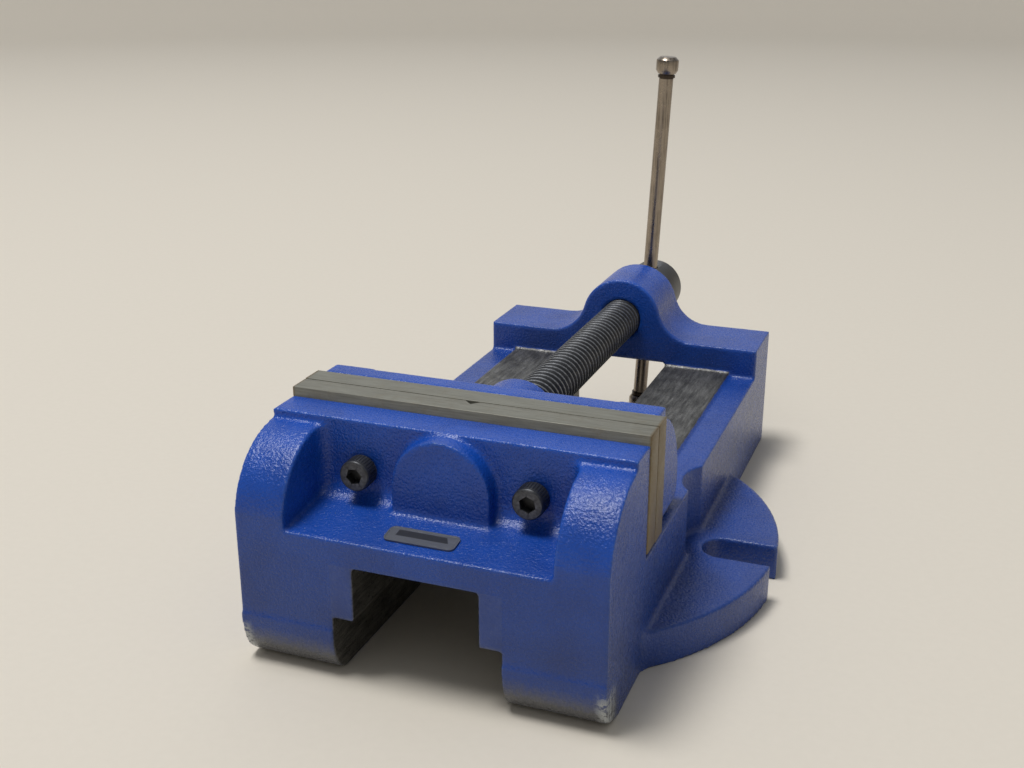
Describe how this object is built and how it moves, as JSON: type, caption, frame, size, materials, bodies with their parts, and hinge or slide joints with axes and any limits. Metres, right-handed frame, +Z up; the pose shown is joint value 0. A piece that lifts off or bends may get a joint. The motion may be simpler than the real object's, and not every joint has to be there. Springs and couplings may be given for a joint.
{
  "type": "drill press vise",
  "caption": "Flat cast machine vise: plated jaws, one sliding on raised ways, moved by a lead screw through a rear bridge with a loose T-bar, and slotted side lugs for bolting down.",
  "frame": {"origin": "centre of the bounding box, on the plane the base stands on", "axes": "+Y from the fixed jaw along the lead screw to its handle, +X to the right seen from the fixed jaw's end, +Z up"},
  "size_m": [0.2252, 0.3454, 0.2104],
  "materials": {
    "blue_enamel": "glossy enamel over a sand casting, with bare machined ways",
    "ground_steel": "ground steel with light brown oxide",
    "black_oxide_steel": "black oxide, slightly oily",
    "plated_steel": "bright zinc plate, worn",
    "label_metal": "satin"
  },
  "bodies": {
    "base": {"base_casting": "blue_enamel", "fixed_jaw_plate": "ground_steel", "fixed_plate_screw_left": "black_oxide_steel", "fixed_plate_screw_right": "black_oxide_steel", "label_plate": "label_metal"},
    "jaw": {"moving_jaw": "blue_enamel", "moving_jaw_plate": "ground_steel", "moving_plate_screw_left": "black_oxide_steel", "moving_plate_screw_right": "black_oxide_steel", "keeper_plate": "black_oxide_steel", "keeper_bolt_left": "black_oxide_steel", "keeper_bolt_right": "black_oxide_steel", "keeper_washer_left": "black_oxide_steel", "keeper_washer_right": "black_oxide_steel", "screw_thrust_washer": "ground_steel"},
    "screw": {"lead_screw": "black_oxide_steel", "screw_retaining_ring": "black_oxide_steel"},
    "handle": {"handle_bar": "plated_steel", "handle_knob_upper": "plated_steel", "handle_knob_lower": "plated_steel"}
  },
  "joints": [
    {"name": "jaw_slide", "type": "slide", "parent": "base", "child": "jaw", "axis": [0, 1, 0], "range_m": [0, 0.1524]},
    {"name": "screw_turn", "type": "hinge", "parent": "jaw", "child": "screw", "pos_m": [0, -0.05945, 0.0745], "axis": [0, 1, 0], "range_deg": [0, 12960]},
    {"name": "handle_slide", "type": "slide", "parent": "screw", "child": "handle", "axis": [0.0454, 0, 0.999], "range_m": [-0.1073, 0.0455]}
  ],
  "couplings": [
    {"joint": "jaw_slide", "follows": "screw_turn", "m_per_rad": 0.00067375}
  ]
}
